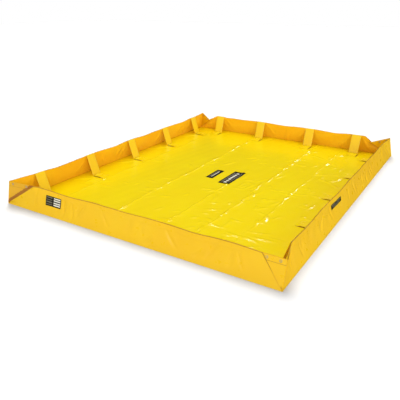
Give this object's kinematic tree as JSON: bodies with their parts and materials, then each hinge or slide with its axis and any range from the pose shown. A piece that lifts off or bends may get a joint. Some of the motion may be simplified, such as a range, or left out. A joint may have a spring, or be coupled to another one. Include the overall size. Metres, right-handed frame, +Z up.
{
  "type": "collapsible spill containment berm",
  "caption": "Shallow rectangular fabric basin with low inward-leaning walls, held up by hinged flat braces, that fold down flat.",
  "frame": {"origin": "on the ground under the middle of the floor", "axes": "+X along the front wall to the right, +Y from front to back, +Z up"},
  "size_m": [2.4384, 3.048, 0.199],
  "materials": {
    "floor_fabric": "glossy coated fabric, creased",
    "wall_fabric": "satin coated fabric",
    "hem_fabric": "satin coated fabric, doubled",
    "sleeve_fabric": "satin coated fabric",
    "pocket_fabric": "satin coated fabric",
    "patch": "matt print",
    "brace_plate": "matt sheet",
    "grommet_metal": "plated"
  },
  "bodies": {
    "floor": {"floor_sheet": "floor_fabric", "floor_patches": "patch", "floor_pockets": "pocket_fabric", "front_left_corner": "wall_fabric", "front_right_corner": "wall_fabric", "back_left_corner": "wall_fabric", "back_right_corner": "wall_fabric", "front_left_pleat": "wall_fabric", "front_right_pleat": "wall_fabric", "back_left_pleat": "wall_fabric", "back_right_pleat": "wall_fabric", "corner_grommets": "grommet_metal", "grommet_washers": "grommet_metal"},
    "front_wall": {"front_wall_patch": "patch", "front_wall_panel": "wall_fabric", "front_wall_hem": "hem_fabric"},
    "front_brace_1": {"front_brace_1_sleeve": "sleeve_fabric", "front_brace_1_plate": "brace_plate"},
    "front_brace_2": {"front_brace_2_sleeve": "sleeve_fabric", "front_brace_2_plate": "brace_plate"},
    "front_brace_3": {"front_brace_3_sleeve": "sleeve_fabric", "front_brace_3_plate": "brace_plate"},
    "front_brace_4": {"front_brace_4_sleeve": "sleeve_fabric", "front_brace_4_plate": "brace_plate"},
    "right_wall": {"right_wall_patch": "patch", "right_wall_panel": "wall_fabric", "right_wall_hem": "hem_fabric"},
    "right_brace_1": {"right_brace_1_sleeve": "sleeve_fabric", "right_brace_1_plate": "brace_plate"},
    "right_brace_2": {"right_brace_2_sleeve": "sleeve_fabric", "right_brace_2_plate": "brace_plate"},
    "right_brace_3": {"right_brace_3_sleeve": "sleeve_fabric", "right_brace_3_plate": "brace_plate"},
    "right_brace_4": {"right_brace_4_sleeve": "sleeve_fabric", "right_brace_4_plate": "brace_plate"},
    "right_brace_5": {"right_brace_5_sleeve": "sleeve_fabric", "right_brace_5_plate": "brace_plate"},
    "back_wall": {"back_wall_panel": "wall_fabric", "back_wall_hem": "hem_fabric"},
    "back_brace_1": {"back_brace_1_sleeve": "sleeve_fabric", "back_brace_1_plate": "brace_plate"},
    "back_brace_2": {"back_brace_2_sleeve": "sleeve_fabric", "back_brace_2_plate": "brace_plate"},
    "back_brace_3": {"back_brace_3_sleeve": "sleeve_fabric", "back_brace_3_plate": "brace_plate"},
    "back_brace_4": {"back_brace_4_sleeve": "sleeve_fabric", "back_brace_4_plate": "brace_plate"},
    "left_wall": {"left_wall_panel": "wall_fabric", "left_wall_hem": "hem_fabric"},
    "left_brace_1": {"left_brace_1_sleeve": "sleeve_fabric", "left_brace_1_plate": "brace_plate"},
    "left_brace_2": {"left_brace_2_sleeve": "sleeve_fabric", "left_brace_2_plate": "brace_plate"},
    "left_brace_3": {"left_brace_3_sleeve": "sleeve_fabric", "left_brace_3_plate": "brace_plate"},
    "left_brace_4": {"left_brace_4_sleeve": "sleeve_fabric", "left_brace_4_plate": "brace_plate"},
    "left_brace_5": {"left_brace_5_sleeve": "sleeve_fabric", "left_brace_5_plate": "brace_plate"}
  },
  "joints": [
    {"name": "front_wall_fold", "type": "hinge", "parent": "floor", "child": "front_wall", "pos_m": [0, -1.5234, 0.0006], "axis": [1, 0, 0], "range_deg": [0, 107]},
    {"name": "front_brace_1_swing", "type": "hinge", "parent": "front_wall", "child": "front_brace_1", "pos_m": [-0.8382, -1.4599, 0.19362], "axis": [1, 0, 0], "range_deg": [0, 143]},
    {"name": "front_brace_2_swing", "type": "hinge", "parent": "front_wall", "child": "front_brace_2", "pos_m": [-0.2794, -1.4599, 0.19362], "axis": [1, 0, 0], "range_deg": [0, 143]},
    {"name": "front_brace_3_swing", "type": "hinge", "parent": "front_wall", "child": "front_brace_3", "pos_m": [0.2794, -1.4599, 0.19362], "axis": [1, 0, 0], "range_deg": [0, 143]},
    {"name": "front_brace_4_swing", "type": "hinge", "parent": "front_wall", "child": "front_brace_4", "pos_m": [0.8382, -1.4599, 0.19362], "axis": [1, 0, 0], "range_deg": [0, 143]},
    {"name": "right_wall_fold", "type": "hinge", "parent": "floor", "child": "right_wall", "pos_m": [1.2186, 0, 0.0006], "axis": [0, 1, 0], "range_deg": [0, 107]},
    {"name": "right_brace_1_swing", "type": "hinge", "parent": "right_wall", "child": "right_brace_1", "pos_m": [1.1551, -1.2192, 0.19362], "axis": [0, 1, 0], "range_deg": [0, 143]},
    {"name": "right_brace_2_swing", "type": "hinge", "parent": "right_wall", "child": "right_brace_2", "pos_m": [1.1551, -0.6096, 0.19362], "axis": [0, 1, 0], "range_deg": [0, 143]},
    {"name": "right_brace_3_swing", "type": "hinge", "parent": "right_wall", "child": "right_brace_3", "pos_m": [1.1551, 0, 0.19362], "axis": [0, 1, 0], "range_deg": [0, 143]},
    {"name": "right_brace_4_swing", "type": "hinge", "parent": "right_wall", "child": "right_brace_4", "pos_m": [1.1551, 0.6096, 0.19362], "axis": [0, 1, 0], "range_deg": [0, 143]},
    {"name": "right_brace_5_swing", "type": "hinge", "parent": "right_wall", "child": "right_brace_5", "pos_m": [1.1551, 1.2192, 0.19362], "axis": [0, 1, 0], "range_deg": [0, 143]},
    {"name": "back_wall_fold", "type": "hinge", "parent": "floor", "child": "back_wall", "pos_m": [0, 1.5234, 0.0006], "axis": [-1, 0, 0], "range_deg": [0, 107]},
    {"name": "back_brace_1_swing", "type": "hinge", "parent": "back_wall", "child": "back_brace_1", "pos_m": [0.838, 1.4599, 0.19362], "axis": [-1, 0, 0], "range_deg": [0, 143]},
    {"name": "back_brace_2_swing", "type": "hinge", "parent": "back_wall", "child": "back_brace_2", "pos_m": [0.305, 1.4599, 0.19362], "axis": [-1, 0, 0], "range_deg": [0, 143]},
    {"name": "back_brace_3_swing", "type": "hinge", "parent": "back_wall", "child": "back_brace_3", "pos_m": [-0.315, 1.4599, 0.19362], "axis": [-1, 0, 0], "range_deg": [0, 143]},
    {"name": "back_brace_4_swing", "type": "hinge", "parent": "back_wall", "child": "back_brace_4", "pos_m": [-0.882, 1.4599, 0.19362], "axis": [-1, 0, 0], "range_deg": [0, 143]},
    {"name": "left_wall_fold", "type": "hinge", "parent": "floor", "child": "left_wall", "pos_m": [-1.2186, 0, 0.0006], "axis": [0, -1, 0], "range_deg": [0, 107]},
    {"name": "left_brace_1_swing", "type": "hinge", "parent": "left_wall", "child": "left_brace_1", "pos_m": [-1.1551, 1.2192, 0.19362], "axis": [0, -1, 0], "range_deg": [0, 143]},
    {"name": "left_brace_2_swing", "type": "hinge", "parent": "left_wall", "child": "left_brace_2", "pos_m": [-1.1551, 0.6096, 0.19362], "axis": [0, -1, 0], "range_deg": [0, 143]},
    {"name": "left_brace_3_swing", "type": "hinge", "parent": "left_wall", "child": "left_brace_3", "pos_m": [-1.1551, 0, 0.19362], "axis": [0, -1, 0], "range_deg": [0, 143]},
    {"name": "left_brace_4_swing", "type": "hinge", "parent": "left_wall", "child": "left_brace_4", "pos_m": [-1.1551, -0.6096, 0.19362], "axis": [0, -1, 0], "range_deg": [0, 143]},
    {"name": "left_brace_5_swing", "type": "hinge", "parent": "left_wall", "child": "left_brace_5", "pos_m": [-1.1551, -1.2192, 0.19362], "axis": [0, -1, 0], "range_deg": [0, 143]}
  ]
}
